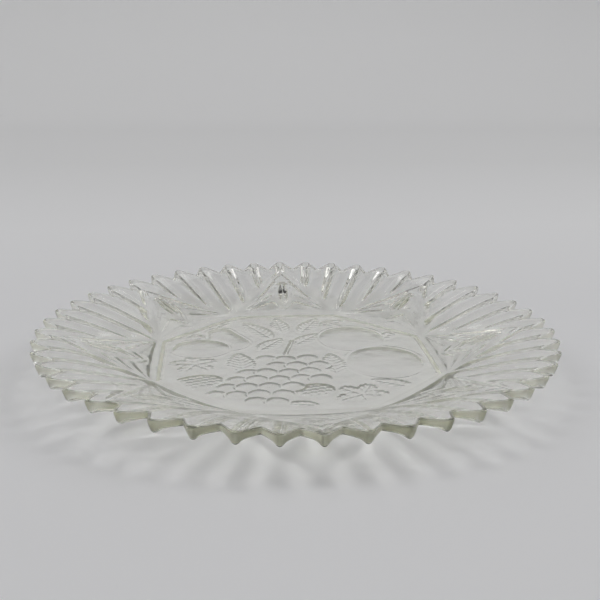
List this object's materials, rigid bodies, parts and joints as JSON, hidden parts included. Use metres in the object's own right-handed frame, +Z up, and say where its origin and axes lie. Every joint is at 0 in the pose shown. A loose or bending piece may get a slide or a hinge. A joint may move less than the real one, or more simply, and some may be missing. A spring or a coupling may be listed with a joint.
{
  "type": "glass serving dish",
  "caption": "Round, shallow serving dish of clear pressed glass with a flat well, a star of gable panels, ribbed wall and saw-tooth rim, for serving food on a table.",
  "frame": {"origin": "centre of the dish on the table, at the level of the foot ring's lower face", "axes": "+Z up along the dish's axis; +Y from the centre through the point of one gable of the star"},
  "size_m": [0.305, 0.305, 0.026],
  "materials": {
    "glass": "clear pressed soda-lime glass, fire-polished, faintly grey-green where it is thick"
  },
  "bodies": {
    "root": {"well_floor": "glass", "foot_ring": "glass", "star_points": "glass", "rib_fans": "glass", "saw_rim": "glass"}
  },
  "joints": []
}
